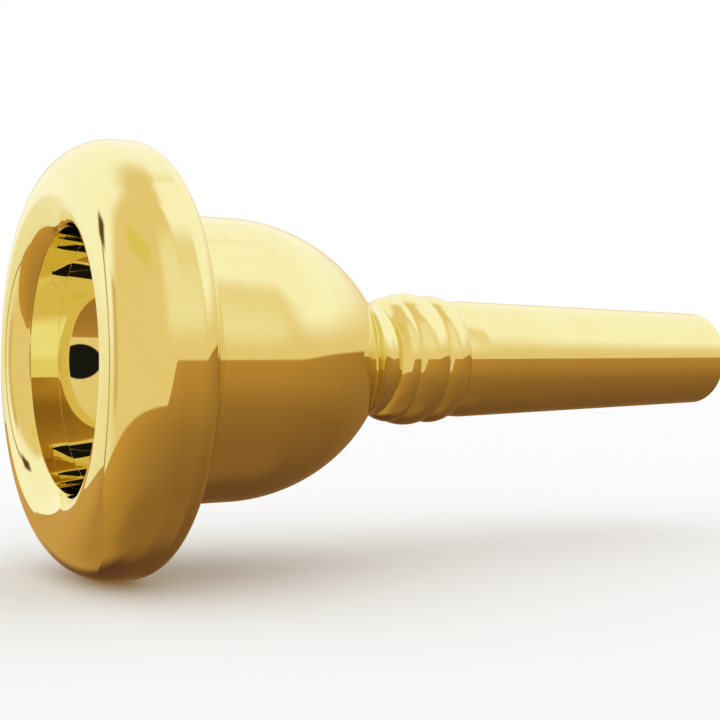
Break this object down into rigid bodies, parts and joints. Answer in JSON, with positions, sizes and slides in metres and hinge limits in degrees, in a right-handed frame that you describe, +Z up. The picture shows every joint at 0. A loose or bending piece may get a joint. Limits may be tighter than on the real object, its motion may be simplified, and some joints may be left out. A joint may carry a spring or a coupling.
{
  "type": "trombone mouthpiece",
  "caption": "Brass-instrument mouthpiece with a wide screw-on rim, deep conical cup, beaded neck and tapered shank.",
  "frame": {"origin": "centre of the shank's open end, on the mouthpiece's axis", "axes": "+X along the axis out of the shank, the way it goes into the receiver; the rim faces -X; +Z up"},
  "size_m": [0.081, 0.0414, 0.0414],
  "materials": {
    "rim_gold": "mirror-polished gold plate",
    "cup_gold": "mirror-polished gold plate",
    "shank_gold": "mirror-polished gold plate",
    "seal_rubber": "satin black"
  },
  "bodies": {
    "shank": {"shank": "shank_gold"},
    "shank_seal": {"shank_seal": "seal_rubber"},
    "cup": {"cup": "cup_gold"},
    "rim_seal": {"rim_seal": "seal_rubber"},
    "rim": {"rim": "rim_gold"}
  },
  "joints": [
    {"name": "cup_turn", "type": "hinge", "parent": "shank", "child": "shank_seal", "pos_m": [-0.0461, 0, 0], "axis": [-1, 0, 0], "range_deg": [0, 1441]},
    {"name": "cup_advance", "type": "slide", "parent": "shank_seal", "child": "cup", "axis": [-1, 0, 0], "range_m": [0, 0.004]},
    {"name": "rim_turn", "type": "hinge", "parent": "cup", "child": "rim_seal", "pos_m": [-0.0694, 0, 0], "axis": [-1, 0, 0], "range_deg": [0, 1801]},
    {"name": "rim_advance", "type": "slide", "parent": "rim_seal", "child": "rim", "axis": [-1, 0, 0], "range_m": [0, 0.005]}
  ],
  "couplings": [
    {"joint": "cup_turn", "follows": "cup_advance", "rad_per_m": 6283.2},
    {"joint": "rim_turn", "follows": "rim_advance", "rad_per_m": 6283.2}
  ]
}
